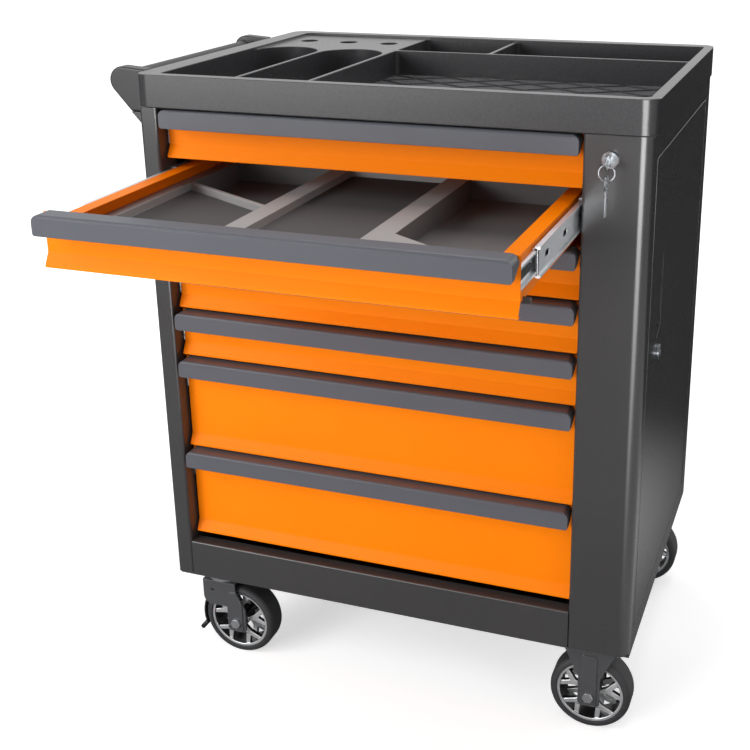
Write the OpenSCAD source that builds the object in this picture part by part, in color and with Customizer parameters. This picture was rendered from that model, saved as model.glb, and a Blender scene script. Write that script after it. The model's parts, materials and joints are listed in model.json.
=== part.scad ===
// Roller tool cabinet: a folded sheet-steel body with seven drawers on ball-bearing slides, a lock column
// with a narrow side locker, a moulded top tray, a push handle and four casters.
// Lengths are in millimetres. X runs to the right, Y to the back and Z up. The origin lies on the floor
// under the middle of the steel body. The second drawer from the top stands open.

/* [Body] */
// Width of the steel body
body_w = 750; // [700:5:850]
// Depth of the steel body
body_d = 540; // [520:5:620]
// Height of the body's underside above the floor
ground = 158; // [152:1:175]
// Thickness of the body's sheet steel
sheet = 1.2; // [0.8:0.1:1.6]
// Width of the left front post
post_w = 28.5; // [24:0.5:40]
// Width of the lock column at the right front
column_w = 91.5; // [86:0.5:120]
// Depth of the folds behind the post and the column, which carry the slides' front ends
post_fold = 45; // [38:1:60]
// Radius of the body's outer front edges
edge_r = 5; // [2:0.5:8]
// Radius of the lock column's outer front edge
column_r = 18; // [8:1:22]
// Height of the front rail under the drawers
rail_h = 62; // [50:1:80]
// Depth of the rail's fold under the lowest drawer
rail_depth = 22; // [18:1:30]

/* [Drawers] */
// Height of one small drawer with its gap
unit_h = 78; // [76:1:90]
// Gap between the rail and the lowest drawer
foot_gap = 8; // [6:0.5:14]
// Gap between the top drawer and the deck over it
head_gap = 3; // [2.5:0.5:8]
// Gap between one drawer and the pull under it
row_gap = 3.5; // [3:0.5:6]
// Depth of a drawer box
box_d = 470; // [440:5:475]
// Thickness of the drawers' sheet steel
box_sheet = 1; // [0.8:0.1:1.4]
// Width of the folded rim along a drawer's sides and back
rim_w = 21; // [8:0.5:24]
// Drop of the folded rim under the top of the pull
rim_drop = 12; // [10:0.5:14]
// Gap between a drawer front and the opening at each side
side_gap = 3; // [2.5:0.5:8]
// Setback of the drawer fronts behind the front of the body
face_set = 25; // [24:0.5:30]
// Height of the lip flared out along the foot of a drawer front
flare_h = 18.5; // [14:0.5:24]
// Reach of that lip in front of the drawer front
flare_out = 8.5; // [4:0.5:12]
// Height of the upright edge at the foot of the lip
flare_edge = 3; // [2:0.5:5]
// How far the second drawer stands open
open_out = 305; // [200:1:320]

/* [Pulls] */
// Height of a pull's front
pull_h = 27.5; // [24:0.5:30]
// Reach of a pull in front of the drawer front
pull_reach = 29; // [26:0.5:31]
// Wall of the pull's extrusion
pull_t = 2; // [1.5:0.1:3]
// Gap between a pull and the opening at each side
pull_gap = 4.5; // [3:0.5:8]
// Length of the cap on each end of a pull
cap_w = 13; // [8:1:20]
// Radius of a cap's upper corners
cap_top_r = 10; // [4:0.5:11]
// Radius of a cap's lower corners
cap_foot_r = 4; // [2:0.5:8]

/* [Slides] */
// Gap between a drawer box and the wall at each side
slide_gap = 13; // [12.8:0.1:14]
// Height of a slide's outer member
slide_h = 42; // [41:0.5:43]
// Length of a slide's members
slide_len = 445; // [420:5:450]
// Drop of a slide's middle under the top of its drawer
slide_drop = 34; // [33.5:0.5:34.5]
// Thickness of the slides' steel
slide_steel = 1.2; // [1:0.1:1.3]
// Running clearance between the members
slide_play = 0.35; // [0.3:0.01:0.4]
// Share of a drawer's travel that its middle members make
mid_share = 0.75; // [0.6:0.01:0.8]

/* [Top tray] */
// Height of the tray
tray_h = 47; // [40:1:60]
// Overhang of the tray beyond the body
tray_over = 4; // [2:0.5:8]
// Radius of the tray's upright corners
tray_r = 22; // [12:1:30]
// Thickness of the tray's floor and skins
tray_t = 3; // [2:0.5:5]
// Thickness of the walls between the bins
tray_wall = 6; // [4:0.5:8]
// Width of the ledge on the handle's side
ledge_w = 34; // [24:1:45]
// Width of the right rim
rim_right = 14; // [8:1:20]
// Width of the front rim
rim_front = 18; // [10:1:24]
// Width of the back rim
rim_back = 26; // [14:1:36]
// Drop of the bin walls under the rim
wall_drop = 4; // [2:0.5:8]
// Width of each of the two long bins
bin_w = 109; // [90:1:120]
// Depth of the long bins and the main bin
bin_d = 350; // [300:5:380]
// Width of the small bin behind the main bin
back_bin_w = 157; // [120:1:200]
// Diameter of the tool holes in the deck behind the long bins
tool_hole = 30; // [20:1:36]

/* [Push handle] */
// Diameter of the grip bar
grip_d = 26; // [22:1:32]
// Distance of the bar's middle from the body's side
grip_out = 45; // [42:1:60]
// Drop of the bar's middle under the top of the tray
grip_drop = 17; // [14:1:24]
// Distance of the front bracket behind the front of the body
grip_front = 30; // [15:1:60]
// Length of the handle over both brackets
grip_len = 410; // [340:5:440]
// Thickness of a bracket
bracket_t = 24; // [18:1:30]
// Height of a bracket's foot on the body
bracket_h = 62; // [55:1:70]
// Height of the steel gusset under a bracket
gusset_h = 36; // [25:1:50]

/* [Side door] */
// Distance of the door's front edge behind the front of the body
door_front = 36; // [30:1:50]
// Distance of the door's back edge from the back of the body
door_back = 36; // [30:1:50]
// Height of the side frame over and under the door
door_frame = 34; // [25:1:60]
// Gap round the door
door_gap = 3; // [2.5:0.1:4]
// Depth of the door's folded edge
door_fold = 16; // [15:1:20]
// Depth of the frame's folds round the door
frame_fold = 20; // [20:1:24]
// Radius of the rounded back edge, concentric with the hinge pins
knuckle_r = 8; // [7:0.5:9]
// Diameter of the hinge pins
hinge_d = 6; // [4:0.5:8]
// Height of the finger recess in the door
recess_h = 108; // [80:1:140]
// Width of the finger recess
recess_w = 30; // [24:1:36]
// Depth of the finger recess
recess_d = 12; // [10:0.5:13]
// Distance of the recess and the door lock behind the front of the body
recess_y = 118; // [105:1:150]
// Height of the recess's middle above the body's underside
recess_z = 525; // [400:5:560]
// Drop of the door lock under the recess's middle
door_lock_drop = 84; // [80:1:110]

/* [Locks and keys] */
// Distance of the front lock from the body's right side
lock_in = 55; // [50:1:60]
// Drop of the front lock under the top of the body
lock_drop = 33; // [30:1:40]
// Diameter of a lock's visible head
lock_head = 22; // [20:1:24]
// Diameter of a lock's barrel
lock_barrel_d = 18; // [16:0.5:19]
// Diameter of a lock's turning plug
plug_d = 12; // [10:0.5:13]
// Radius of a key's bow
bow_r = 10; // [9.5:0.5:11]
// Radius of the eye in a key's bow
eye_r = 4; // [4:0.1:4.5]
// Thickness of a key
key_t = 2; // [1.6:0.1:2.4]
// Length of the spare key's blade
blade_len = 34; // [25:1:45]
// Radius of the key ring to the middle of its wire
ring_r = 10.5; // [10:0.1:12]
// Diameter of the ring's wire
ring_wire = 2.2; // [1.6:0.1:2.4]
// Throw of the locking bar
bar_throw = 9; // [8:0.5:10]

/* [Casters] */
// Diameter of a wheel
wheel_d = 125; // [115:1:130]
// Width of a tyre
tyre_w = 42; // [36:1:46]
// Diameter of the rim's seat for the tyre
seat_d = 104; // [96:1:106]
// Distance of the wheels' middle from the front and the back of the body
caster_in = 53; // [50:1:70]
// Distance of the right wheels' middle from the body's right side
rigid_in = 62; // [58:1:80]
// Distance of the swivels' middle from the body's left side
swivel_in = 58; // [50:1:90]
// Trail of the left wheels behind their swivels
trail = 30; // [24:1:36]
// Diameter of an axle
axle_d = 10; // [8:0.5:12]
// Diameter of a kingpin
kingpin_d = 12; // [10:0.5:14]
// Thickness of the casters' plates and legs
plate_t = 3; // [2.5:0.1:4]
// Length of a mounting plate
plate_l = 100; // [90:1:105]
// Width of a mounting plate
plate_w = 84; // [70:1:90]
// Gap between a tyre and a leg
leg_gap = 4; // [3:0.5:6]

/* [Hidden] */
$fn = 64;
units = [1, 1, 1, 1, 1, 2, 2];
drawer_count = len(units);
open_drawer = 1;
run_fit = 0.05;
rest_gap = 0.3;
overlap = 0.4;

steel_dark = "#4a4a4c";
orange = "#ff8a12";
pull_grey = "#6a6c74";
plastic_black = "#2a2a2c";
zinc = "#c9ccd0";
chrome = "#dfe2e6";
rubber = "#303032";
foam_grey = "#8c8c8c";

left_x = -body_w / 2;
right_x = body_w / 2;
front_y = -body_d / 2;
back_y = body_d / 2;
open_l = left_x + post_w;
open_r = right_x - column_w;
bay_x = (open_l + open_r) / 2;
bay_w = open_r - open_l;
base_z = ground;
floor_z = base_z + sheet;
bay_z = base_z + rail_h + foot_gap;
top_z = bay_z + units_above(drawer_count) * unit_h + head_gap;
deck_z = top_z - sheet;

function units_above(i) = i == 0 ? 0 : units_above(i - 1) + units[i - 1];
function drawer_top(i) = top_z - head_gap - units_above(i) * unit_h;
function drawer_foot(i) = drawer_top(i) - units[i] * unit_h + row_gap;
function drawer_out(i) = i == open_drawer ? open_out : 0;

// Directions and points of bent sheet profiles
function unit(v) = v / norm(v);
function left_of(v) = [-v[1], v[0]];
function leg_before(p, i) = unit(i > 0 ? p[i] - p[i - 1] : p[1] - p[0]);
function leg_after(p, i) = unit(i < len(p) - 1 ? p[i + 1] - p[i] : p[i] - p[i - 1]);
function mitre(p, i, t) =
    let (a = left_of(leg_before(p, i)), b = left_of(leg_after(p, i)), m = unit(a + b))
    p[i] + m * t / (m * a);

// Points of a round bend of radius r at corner b between a and c
function bend(a, b, c, r, steps = 8) =
    let (u = unit(a - b), v = unit(c - b), half = acos(u * v) / 2)
    let (mid = b + unit(u + v) * r / sin(half), from = b + u * r / tan(half) - mid)
    let (turn = (180 - 2 * half) * (cross(u, v) > 0 ? -1 : 1))
    [for (k = [0 : steps])
        let (w = turn * k / steps)
        mid + [from[0] * cos(w) - from[1] * sin(w), from[0] * sin(w) + from[1] * cos(w)]];

// A profile with the corner at each index of the list "at" bent to radius r
function bent(p, at, r) =
    [for (i = [0 : len(p) - 1])
        each len(search(i, at)) > 0 ? bend(p[i - 1], p[i], p[i + 1], r) : [p[i]]];

// Sheet of thickness t along the outer line p, with its material on the left of the line
module strip(p, t) {
    polygon(concat(p, [for (i = [len(p) - 1 : -1 : 0]) mitre(p, i, t)]));
}

// Plane profiles drawn out along one axis between two places
module along_x(x0, x1) {
    translate([x0, 0, 0]) rotate([90, 0, 90]) linear_extrude(x1 - x0) children();
}

module along_y(y0, y1) {
    translate([0, y1, 0]) rotate([90, 0, 0]) linear_extrude(y1 - y0) children();
}

module along_z(z0, z1) {
    translate([0, 0, z0]) linear_extrude(z1 - z0) children();
}

// Box between two corners
module block(low, high) {
    translate(low) cube(high - low);
}

// Plane rectangle between two corners
module square_between(low, high) {
    translate(low) square(high - low);
}

// Plane rectangle between two corners with round corners
module round_rect(low, high, r) {
    translate([low[0] + r, low[1]]) square([high[0] - low[0] - 2 * r, high[1] - low[1]]);
    translate([low[0], low[1] + r]) square([high[0] - low[0], high[1] - low[1] - 2 * r]);
    for (x = [low[0] + r, high[0] - r], y = [low[1] + r, high[1] - r])
        translate([x, y]) circle(r);
}

// Round bar along an axis between two places
module rod_x(x0, x1, d) {
    translate([x0, 0, 0]) rotate([0, 90, 0]) cylinder(h = x1 - x0, d = d);
}

module rod_y(y0, y1, d) {
    translate([0, y1, 0]) rotate([90, 0, 0]) cylinder(h = y1 - y0, d = d);
}

module rod_z(z0, z1, d) {
    translate([0, 0, z0]) cylinder(h = z1 - z0, d = d);
}

// Body

flange = 16;
upright_w = 36;
upright_in = 90;
upright_y = front_y + face_set + slide_len - upright_in;

// Left side sheet folded round the front post, with the rear slide upright and the handle's gussets
module side_panel_left() {
    wrap = [[left_x + flange, back_y - sheet], [left_x, back_y - sheet], [left_x, front_y],
        [open_l, front_y], [open_l, front_y + post_fold]];
    upright = [[left_x + sheet, upright_y], [open_l, upright_y], [open_l, upright_y + upright_w],
        [left_x + sheet, upright_y + upright_w]];
    color(steel_dark) {
        along_z(floor_z, deck_z) strip(bent(wrap, [2, 3], edge_r), sheet);
        along_z(floor_z, deck_z) strip(upright, sheet);
        for (y = bracket_ys) gusset(y);
    }
}

// Folded gusset welded to the left side under a handle bracket
module gusset(y) {
    head = [left_x - bracket_foot_x, bracket_z];
    heel = [left_x + overlap, bracket_z - gusset_h];
    along_y(y, y + bracket_t) strip([[left_x + overlap, bracket_z], head, heel], sheet);
    for (y0 = [y, y + bracket_t - sheet])
        along_y(y0, y0 + sheet) polygon([heel, head, [left_x + overlap, bracket_z]]);
}

// Back sheet folded forward over the drawers as the top deck
module rear_wrapper() {
    color(steel_dark)
        along_x(left_x, right_x)
            strip([[back_y, floor_z], [back_y, top_z], [front_y, top_z]], sheet);
}

// Bottom pan with the front rail folded up from it
module base_pan() {
    rail = [[front_y + rail_depth, base_z + rail_h], [front_y, base_z + rail_h], [front_y, base_z],
        [front_y + rail_depth, base_z]];
    color(steel_dark) {
        along_x(open_l, open_r) strip(bent(rail, [1], edge_r / 2), sheet);
        block([left_x, front_y + edge_r, base_z], [right_x, back_y, floor_z]);
        block([left_x + edge_r, front_y, base_z], [right_x - column_r, front_y + edge_r + overlap, floor_z]);
    }
}

// Wall between the drawer bay and the side locker, slotted for the tabs of the locking bar
module partition() {
    wall = [[open_r + flange, back_y - sheet], [open_r, back_y - sheet], [open_r, front_y + post_fold]];
    color(steel_dark)
        difference() {
            along_z(floor_z, deck_z) strip(wall, sheet);
            for (i = [0 : drawer_count - 1])
                block([open_r - overlap, tab_y - tab_play, tab_top(i) - tab_h - bar_throw - tab_play],
                    [open_r + sheet + overlap, tab_y + tab_t + tab_play, tab_top(i) + tab_play]);
        }
}

// Lock column bent round the front edge into the frame of the side door
module right_frame() {
    jamb_y = front_y + door_front - door_gap;
    stile_y = back_y - door_back + door_gap;
    column = [[open_r, front_y + post_fold], [open_r, front_y], [right_x, front_y], [right_x, jamb_y],
        [right_x - frame_fold, jamb_y]];
    stile = [[right_x - frame_fold, stile_y], [right_x, stile_y], [right_x, back_y - sheet],
        [right_x - flange, back_y - sheet]];
    header = [[right_x - frame_fold, door_z1 + door_gap], [right_x, door_z1 + door_gap], [right_x, deck_z]];
    sill = [[right_x, floor_z], [right_x, door_z0 - door_gap], [right_x - frame_fold, door_z0 - door_gap]];
    color(steel_dark)
        difference() {
            union() {
                along_z(floor_z, deck_z)
                    strip(bent(bent(column, [2], column_r), [1], edge_r), sheet);
                along_z(floor_z, deck_z) strip(stile, sheet);
                along_y(jamb_y - sheet / 2, stile_y + sheet / 2) strip(header, sheet);
                along_y(jamb_y - sheet / 2, stile_y + sheet / 2) strip(sill, sheet);
                strike(jamb_y);
            }
            translate([lock_x, 0, lock_z])
                rod_y(front_y - 1, front_y + 2 * sheet, lock_barrel_d + 2 * run_fit);
            translate([hinge_x, hinge_y, 0])
                rod_z(door_z0 - door_gap - 2 * sheet, door_z1 + door_gap + 2 * sheet, hinge_d + 2 * run_fit);
        }
}

// Strike tab that the door lock's cam turns behind
module strike(jamb_y) {
    block([right_x - frame_fold, jamb_y - sheet, door_lock_z - strike_h / 2],
        [right_x - frame_fold + sheet, recess_at - cam_w, door_lock_z + strike_h / 2]);
}

// Drawers

slide_half = slide_h / 2;
face_y = front_y + face_set;
box_w = bay_w - 2 * slide_gap;
box_lift = 4.5;
catch_t = 3;
catch_reach = 10;
catch_h = 8;

// Front of a drawer, a sheet with its foot flared out to a lip and hemmed back
module drawer_front(i) {
    foot = drawer_foot(i);
    lip_y = face_y - flare_out;
    face = [[face_y, drawer_top(i) - pull_t], [face_y, foot + flare_h], [lip_y, foot + flare_edge],
        [lip_y, foot], [face_y, foot]];
    along_x(open_l + side_gap, open_r - side_gap) strip(face, box_sheet);
}

// Drawer box: two sides and a floor folded from one sheet, with front, back and rims
module drawer_box(i) {
    half = box_w / 2;
    floor_low = drawer_foot(i) + box_lift;
    rim = drawer_top(i) - rim_drop;
    inner_y = face_y + box_sheet;
    tub = [[bay_x - half + rim_w, rim], [bay_x - half, rim], [bay_x - half, floor_low],
        [bay_x + half, floor_low], [bay_x + half, rim], [bay_x + half - rim_w, rim]];
    back = [[inner_y + box_d, floor_low], [inner_y + box_d, rim], [inner_y + box_d - rim_w, rim]];
    color(orange)
        translate([0, -drawer_out(i), 0]) {
            drawer_front(i);
            along_y(inner_y - box_sheet / 2, inner_y + box_d) strip(tub, box_sheet);
            along_x(bay_x - half, bay_x + half) strip(back, box_sheet);
            block([bay_x - half, inner_y - box_sheet / 2, floor_low],
                [bay_x + half, inner_y + box_sheet, drawer_top(i) - pull_t]);
        }
}

pull_back = 12;
pull_curl = 4;
pull_edge_r = 4;

// Front view of a pull between two corners, rounder at its head than at its foot
module cap_outline(low, high) {
    square_between([low[0], low[1] + cap_foot_r], [high[0], high[1] - cap_top_r]);
    square_between([low[0] + cap_foot_r, low[1]], [high[0] - cap_foot_r, low[1] + cap_foot_r]);
    square_between([low[0] + cap_top_r, high[1] - cap_top_r], [high[0] - cap_top_r, high[1]]);
    for (x = [low[0] + cap_foot_r, high[0] - cap_foot_r])
        translate([x, low[1] + cap_foot_r]) circle(cap_foot_r);
    for (x = [low[0] + cap_top_r, high[0] - cap_top_r])
        translate([x, high[1] - cap_top_r]) circle(cap_top_r);
}

// Outer line of a pull's hooked section, from its back leg over the top to the curled front edge
function pull_line(top) =
    [[face_y, top - pull_back], [face_y, top], [face_y - pull_reach, top],
        [face_y - pull_reach, top - pull_h], [face_y - pull_reach + pull_curl, top - pull_h]];

// Extruded pull hooked over a drawer front, with a cap on each end
module drawer_pull(i) {
    top = drawer_top(i);
    line = bent(pull_line(top), [2], pull_edge_r);
    x0 = open_l + pull_gap;
    x1 = open_r - pull_gap;
    color(pull_grey)
        translate([0, -drawer_out(i), 0]) {
            along_x(x0 + cap_w, x1 - cap_w) strip(line, pull_t);
            intersection() {
                union() {
                    along_x(x0, x0 + cap_w) polygon(line);
                    along_x(x1 - cap_w, x1) polygon(line);
                }
                along_y(face_y - pull_reach - 1, face_y + 1)
                    cap_outline([x0, top - pull_h], [x1, top]);
            }
        }
}

// Slides, drawn in a plane with u from the wall to the drawer and v upwards

outer_u = 9.6;
slide_lip = 1.7;
race_h = 5;
mid_web = 4.6;
mid_u = slide_gap - slide_steel - slide_play - 0.25;
mid_half = slide_half - race_h;
inner_half = mid_half - slide_steel - slide_lip - 2 * slide_play;
slot_l = 20;
slot_w = 8;
slot_pitch = 90;
slot_first = 45;

// C-shaped outer member with turned-in lips
module outer_section() {
    strip([[outer_u, slide_half - slide_steel - slide_lip], [outer_u, slide_half], [0, slide_half],
        [0, -slide_half], [outer_u, -slide_half], [outer_u, -slide_half + slide_steel + slide_lip]],
        slide_steel);
}

// Middle member: a channel towards the drawer with a ball race along each edge
module middle_section() {
    head_top = slide_half - slide_steel - slide_play;
    head_u0 = slide_steel + slide_play;
    head_u1 = outer_u - slide_steel - slide_play;
    strip([[mid_u, mid_half - slide_steel - slide_lip], [mid_u, mid_half], [mid_web, mid_half],
        [mid_web, -mid_half], [mid_u, -mid_half], [mid_u, -mid_half + slide_steel + slide_lip]],
        slide_steel);
    for (s = [0, 1])
        mirror([0, s])
            translate([head_u0, mid_half - overlap])
                square([head_u1 - head_u0, head_top - mid_half + overlap]);
}

// Inner member: a channel towards the wall, fixed to the drawer box
module inner_section() {
    head_top = mid_half - slide_steel - slide_play;
    head_u0 = mid_web + slide_steel + slide_play;
    head_u1 = mid_u - slide_steel - slide_play;
    strip([[head_u0, -inner_half], [slide_gap, -inner_half], [slide_gap, inner_half], [head_u0, inner_half]],
        slide_steel);
    for (s = [0, 1])
        mirror([0, s])
            translate([head_u0, inner_half - overlap])
                square([head_u1 - head_u0, head_top - inner_half + overlap]);
}

// The same member on the left wall and, mirrored, on the right wall
module slide_pair(i, y0) {
    for (right = [0, 1])
        translate([right ? open_r : open_l, y0, drawer_top(i) - slide_drop])
            mirror([right, 0, 0])
                children();
}

slide_y = face_y + box_sheet + 1.5;

// Outer members of all the slides, on the post, the upright and the partition
module slide_outer_members() {
    color(zinc)
        for (i = [0 : drawer_count - 1])
            slide_pair(i, slide_y) along_y(0, slide_len) outer_section();
}

module slide_middle(i) {
    color(zinc)
        slide_pair(i, slide_y - drawer_out(i) * mid_share)
            difference() {
                along_y(0, slide_len) middle_section();
                for (y = [slot_first : slot_pitch : slide_len - slot_first])
                    translate([mid_web - overlap, y, 0])
                        along_x(0, slide_steel + 2 * overlap) slot_outline();
            }
}

// Long hole with round ends
module slot_outline() {
    straight = slot_l - slot_w;
    square([straight, slot_w], center = true);
    for (s = [-1, 1])
        translate([s * straight / 2, 0]) circle(d = slot_w);
}

// Inner members on a drawer box, and the catch for the locking bar's tab
module slide_inner(i) {
    catch_x = bay_x + box_w / 2;
    catch_y = tab_y + tab_t + tab_play - drawer_out(i);
    color(zinc) {
        slide_pair(i, slide_y - drawer_out(i))
            along_y(0, slide_len) inner_section();
        block([catch_x, catch_y, catch_top(i) - catch_h],
            [catch_x + catch_reach, catch_y + catch_t, catch_top(i)]);
    }
}

// Moulded organiser in the open drawer

org_t = 2.5;
org_play = 1;
org_top_drop = 34;
org_floor = 3;
pocket_r = 6;
org_x0 = bay_x - box_w / 2 + box_sheet + org_play;
org_x1 = bay_x + box_w / 2 - box_sheet - org_play;
org_y0 = face_y + 2 * box_sheet + org_play;
org_y1 = face_y + box_d - org_play;
org_edge = 14;
org_side = 20;
org_front = 40;
org_shallow = 11;
org_wall_1 = [184, 214];
org_wall_2 = [374, 408];
org_slant = [308, 218];
org_slant_w = 8;
org_corner = [92, 58];
org_corner_y = 82;

// Shallow pockets at the front left and in the middle, grown outwards by g
module shallow_pockets(g) {
    y0 = org_front - g;
    x1 = org_wall_1[0] + g;
    low = [for (y = org_slant) y - org_slant_w + g];
    polygon([[org_side - g, y0], [x1, y0], [x1, low[1]], [org_side - g, low[0]]]);
    round_rect([org_wall_1[1] - g, y0], [org_wall_2[0] + g, org_y1 - org_y0 - org_edge + g], pocket_r);
}

// Deep pockets at the back left and at the right, grown outwards by g
module deep_pockets(g) {
    y0 = org_corner_y - g;
    y1 = org_y1 - org_y0 - org_edge + g;
    l0 = org_side - g;
    l1 = org_wall_1[0] + g;
    r0 = org_wall_2[1] - g;
    r1 = org_x1 - org_x0 - org_edge + g;
    polygon([[l1, org_slant[1] - g], [l1, y1], [l0, y1], [l0, org_slant[0] - g]]);
    polygon([[r0 + org_corner[0], y0], [r1, y0], [r1, y1], [r0, y1], [r0, y0 + org_corner[1]]]);
}

module organiser() {
    z0 = drawer_foot(open_drawer) + box_lift + box_sheet;
    z1 = drawer_top(open_drawer) - org_top_drop;
    shelf = z1 - org_shallow;
    color(foam_grey)
        translate([org_x0, org_y0 - drawer_out(open_drawer), 0])
            difference() {
                union() {
                    along_z(z1 - org_t, z1) square([org_x1 - org_x0, org_y1 - org_y0]);
                    along_z(z0, z1) organiser_skirt();
                    along_z(z0, z1 - org_t / 2) deep_pockets(org_t);
                    along_z(shelf - org_floor, z1 - org_t / 2) shallow_pockets(org_t);
                }
                along_z(z0 + org_floor, z1 + 1) deep_pockets(0);
                along_z(shelf, z1 + 1) shallow_pockets(0);
            }
}

// Upright skirt round the organiser's edge
module organiser_skirt() {
    size = [org_x1 - org_x0, org_y1 - org_y0];
    difference() {
        square(size);
        square_between([org_t, org_t], [size[0] - org_t, size[1] - org_t]);
    }
}

// Top tray

tray_x0 = left_x - tray_over;
tray_x1 = right_x + tray_over;
tray_y0 = front_y - tray_over;
tray_y1 = back_y + tray_over;
tray_top = top_z + tray_h;
bin_r = 8;
bins_x0 = tray_x0 + ledge_w;
bins_x1 = tray_x1 - rim_right;
bins_y0 = tray_y0 + rim_front;
bins_y1 = tray_y1 - rim_back;
main_x0 = bins_x0 + 2 * (bin_w + tray_wall);
row_y0 = bins_y0 + bin_d + tray_wall;
tool_row = 3;

// Long bin with a round back end
module long_bin(x0) {
    x1 = x0 + bin_w;
    end_y = bins_y0 + bin_d - bin_w / 2;
    round_rect([x0, bins_y0], [x1, end_y + bin_r], bin_r);
    translate([(x0 + x1) / 2, end_y]) circle(bin_w / 2);
}

// Moulded tray with a deep main bin, two long bins, a back row and a deck with tool holes
module top_tray() {
    floor_top = top_z + tray_t;
    deck_top = tray_top - wall_drop;
    hole_pitch = (main_x0 - tray_wall - bins_x0) / tool_row;
    color(plastic_black)
        difference() {
            along_z(top_z, tray_top) round_rect([tray_x0, tray_y0], [tray_x1, tray_y1], tray_r);
            along_z(deck_top, tray_top + 1) round_rect([bins_x0, bins_y0], [bins_x1, bins_y1], bin_r);
            along_z(floor_top, tray_top) {
                for (n = [0, 1])
                    long_bin(bins_x0 + n * (bin_w + tray_wall));
                round_rect([main_x0, bins_y0], [bins_x1, bins_y0 + bin_d], bin_r);
                round_rect([main_x0, row_y0], [main_x0 + back_bin_w, bins_y1], bin_r);
                round_rect([main_x0 + back_bin_w + tray_wall, row_y0], [bins_x1, bins_y1], bin_r);
            }
            along_z(top_z - 1, tray_top - 2 * tray_t)
                round_rect([tray_x0 + tray_t, tray_y0 + tray_r],
                    [bins_x0 - tray_t, tray_y1 - tray_r], tray_t);
            along_z(top_z - 1, deck_top - tray_t)
                round_rect([bins_x0, row_y0 + tray_t], [main_x0 - tray_wall, bins_y1], tray_t);
            for (n = [0 : tool_row - 1])
                translate([bins_x0 + hole_pitch * (n + 0.5), (row_y0 + bins_y1) / 2, 0])
                    rod_z(deck_top - 2 * tray_t, deck_top + 1, tool_hole);
        }
}

// Push handle

bracket_y0 = front_y + grip_front;
bracket_ys = [bracket_y0, bracket_y0 + grip_len - bracket_t];
grip_x = left_x - grip_out;
grip_z = tray_top - grip_drop;
bracket_z = tray_top - bracket_h;
bracket_foot_x = 33;
bracket_r = 21;

// Outline of a bracket: a round nose round the bar, drawn down to a foot on the body's side
module bracket_outline() {
    side_x = tray_x0 - rest_gap;
    slope = unit([grip_x - bracket_r, grip_z] - [left_x - bracket_foot_x, bracket_z]);
    nose = [grip_x, grip_z] + left_of(slope) * bracket_r;
    translate([grip_x, grip_z]) circle(bracket_r);
    polygon([[grip_x, grip_z + bracket_r], [side_x, grip_z + bracket_r - 3], [side_x, top_z - rest_gap],
        [left_x, top_z - rest_gap], [left_x, bracket_z], [left_x - bracket_foot_x, bracket_z], nose,
        [grip_x, grip_z]]);
}

module push_handle() {
    color(plastic_black) {
        for (y = bracket_ys)
            along_y(y, y + bracket_t) bracket_outline();
        translate([grip_x, 0, grip_z])
            rod_y(bracket_y0 + bracket_t / 2, bracket_y0 + grip_len - bracket_t / 2, grip_d);
    }
}

// Side door

door_y0 = front_y + door_front;
door_y1 = back_y - door_back;
door_z0 = floor_z + door_frame;
door_z1 = deck_z - door_frame;
hinge_x = right_x - knuckle_r;
hinge_y = door_y1 - knuckle_r;
recess_at = front_y + recess_y;
recess_mid = base_z + recess_z;
door_lock_z = recess_mid - door_lock_drop;
recess_slant = 14;
cam_w = 14;
cam_l = 42;
cam_t = 2;
strike_h = 50;

// Slanted outline of the finger recess, grown outwards by g, in a plane with Y and Z
module recess_outline(g) {
    half_w = recess_w / 2 + g;
    half_h = recess_h / 2 + g;
    polygon([[-half_w, -half_h - recess_slant / 2], [half_w, -half_h + recess_slant / 2],
        [half_w, half_h + recess_slant / 2], [-half_w, half_h - recess_slant / 2]]);
}

// Door pan with a rounded hinge edge, two hinge pins and a pressed finger recess
module side_door() {
    inner_x = right_x - door_fold;
    pin_reach = door_gap + sheet + 3;
    edge = [[inner_x, door_y0], [right_x, door_y0], [right_x, hinge_y]];
    color(steel_dark)
        difference() {
            union() {
                along_z(door_z0, door_z1) strip(edge, sheet);
                translate([hinge_x, hinge_y, 0]) along_z(door_z0, door_z1) knuckle();
                for (z = [door_z0, door_z1 - sheet]) {
                    block([inner_x, door_y0, z], [right_x - sheet / 2, hinge_y, z + sheet]);
                    translate([hinge_x, hinge_y, 0]) along_z(z, z + sheet) circle(knuckle_r - sheet / 2);
                }
                translate([hinge_x, hinge_y, 0]) {
                    rod_z(door_z0 - pin_reach, door_z0 + sheet, hinge_d);
                    rod_z(door_z1 - sheet, door_z1 + pin_reach, hinge_d);
                }
                translate([right_x - recess_d, recess_at, recess_mid])
                    along_x(0, recess_d) recess_outline(sheet);
            }
            translate([right_x - recess_d + sheet, recess_at, recess_mid])
                along_x(0, recess_d) recess_outline(0);
            translate([0, recess_at, door_lock_z])
                rod_x(right_x - 2 * sheet, right_x + 1, lock_barrel_d + 2 * run_fit);
        }
}

// Half ring that rounds the door's hinge edge
module knuckle() {
    difference() {
        circle(knuckle_r);
        circle(knuckle_r - sheet);
        translate([-2 * knuckle_r, -4 * knuckle_r]) square(4 * knuckle_r);
    }
}

lock_proud = 4;
lock_body = frame_fold + 4;

// Cam lock of the side door, turning in the door skin
module door_lock() {
    back_x = right_x - lock_body;
    color(chrome)
        translate([0, recess_at, door_lock_z]) {
            difference() {
                union() {
                    rod_x(right_x + rest_gap, right_x + lock_proud, lock_head);
                    rod_x(back_x, right_x + lock_proud / 2, lock_barrel_d);
                }
                rod_x(right_x + lock_proud - 1, right_x + lock_proud + 1, plug_d);
            }
            difference() {
                rod_x(right_x, right_x + lock_proud - 0.5, plug_d - 1);
                block([right_x + lock_proud / 2, -key_t / 2, -plug_d / 3],
                    [right_x + lock_proud + 1, key_t / 2, plug_d / 3]);
            }
            block([back_x - cam_t, -cam_w / 2, -cam_w / 2], [back_x, cam_w / 2, cam_l]);
        }
}

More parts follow.
